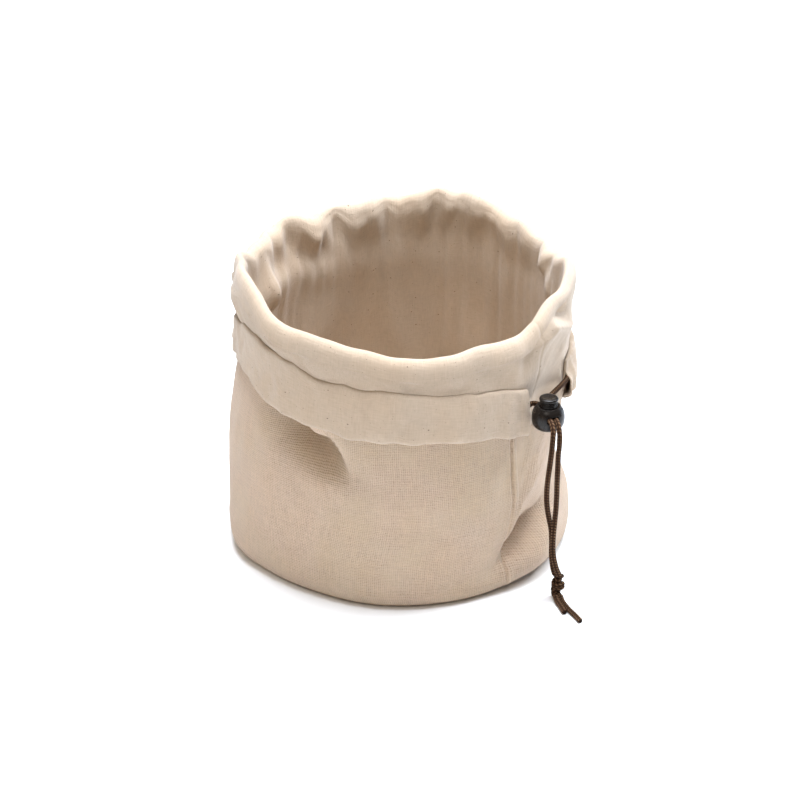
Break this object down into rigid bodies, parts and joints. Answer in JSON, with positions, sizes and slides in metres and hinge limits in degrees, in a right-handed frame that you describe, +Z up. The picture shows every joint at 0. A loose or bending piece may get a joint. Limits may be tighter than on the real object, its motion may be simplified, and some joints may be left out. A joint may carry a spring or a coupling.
{
  "type": "drawstring bread bag",
  "caption": "Round linen bread bag standing open, its cotton lining turned out as a cuff, with a corded casing, a toggle and knotted cord ends.",
  "frame": {"origin": "middle of the bag's round base, on the surface it stands on", "axes": "+Z up, -Y to the front, +X to the right seen from the front, so the toggle hangs at the front right"},
  "size_m": [0.2058, 0.2147, 0.1802],
  "materials": {
    "linen": "coarse undyed plain weave",
    "cotton": "fine undyed cotton with small dark flecks",
    "braid": "dark brown round braid",
    "plastic": "near-black satin"
  },
  "bodies": {
    "bag": {"outer_wall": "linen", "outer_base": "linen", "lining": "cotton", "lining_base": "cotton", "casing": "cotton", "cord_in_casing": "braid", "cord_left": "braid", "cord_right": "braid", "cord_knot": "braid", "cord_tail_long": "braid", "cord_tail_short": "braid", "toggle_body": "plastic"},
    "button": {"toggle_button": "plastic"}
  },
  "joints": [
    {"name": "button_press", "type": "slide", "parent": "bag", "child": "button", "axis": [0, 0, -1], "range_m": [0, 0.003], "stiffness_N_per_m": 400, "springref_m": -0.003}
  ]
}
